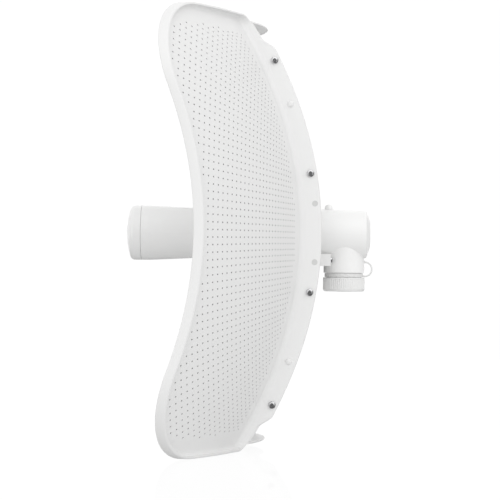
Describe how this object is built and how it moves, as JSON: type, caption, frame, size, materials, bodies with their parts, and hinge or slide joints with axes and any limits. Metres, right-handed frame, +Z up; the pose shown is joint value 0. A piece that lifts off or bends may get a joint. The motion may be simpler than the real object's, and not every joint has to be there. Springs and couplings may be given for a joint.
{
  "type": "outdoor wireless bridge",
  "caption": "Parabolic dish radio with a centre panel and two bolted wings, a front feed tube, and a rear housing with a capped cable port.",
  "frame": {"origin": "dish vertex, where the boresight meets the reflector's front surface", "axes": "-Y along the boresight away from the dish, +Z up, +X towards the right-hand wing"},
  "size_m": [0.616, 0.2849, 0.492],
  "materials": {
    "panel_white": "satin powder coat",
    "plastic_white": "satin moulded plastic",
    "cap_plastic": "satin moulded plastic",
    "tether_white": "soft moulded",
    "bright_steel": "bright, machined",
    "pin_grey": "satin",
    "plate_metal": "powder coat",
    "spring_steel": "drawn wire",
    "seal_rubber": "matt",
    "reflector_metal": "spun",
    "board_green": "solder mask",
    "carrier_grey": "moulded",
    "shield_metal": "tinned",
    "jack_metal": "plated",
    "switch_black": "moulded"
  },
  "bodies": {
    "dish": {"centre_reflector": "panel_white", "wing_right": "panel_white", "wing_left": "panel_white", "wing_screws": "bright_steel", "wing_nuts": "bright_steel", "alignment_pins": "pin_grey", "hub_plate": "plate_metal", "hub_screws": "bright_steel", "rear_housing": "plastic_white", "housing_screws": "bright_steel", "release_spring": "spring_steel", "cap_tether": "tether_white"},
    "feed": {"feed_tube": "plastic_white", "hub_seal": "seal_rubber", "feed_cap": "plastic_white", "feed_cap_seal": "seal_rubber", "sub_reflector": "reflector_metal", "feed_radiator": "board_green", "board_carrier": "carrier_grey", "radio_board": "board_green", "shield_can": "shield_metal", "ethernet_jack": "jack_metal", "reset_switch": "switch_black"},
    "release_button": {"release_button": "plastic_white"},
    "port_cap": {"port_cap": "cap_plastic", "port_gasket": "seal_rubber", "cable_grommet": "seal_rubber"},
    "reset_button": {"reset_button": "pin_grey"}
  },
  "joints": [
    {"name": "feed_slide", "type": "slide", "parent": "dish", "child": "feed", "axis": [0, -1, 0], "range_m": [0, 0.09]},
    {"name": "release_press", "type": "slide", "parent": "dish", "child": "release_button", "axis": [0, 0, -1], "range_m": [0, 0.002], "stiffness_N_per_m": 900, "deforming": ["release_spring"]},
    {"name": "cap_twist", "type": "hinge", "parent": "dish", "child": "port_cap", "pos_m": [0, 0.0426, -0.058], "axis": [0, 0, 1], "range_deg": [0, 90]},
    {"name": "reset_press", "type": "slide", "parent": "feed", "child": "reset_button", "axis": [0, 0, 1], "range_m": [0, 0.0005], "stiffness_N_per_m": 1500}
  ]
}
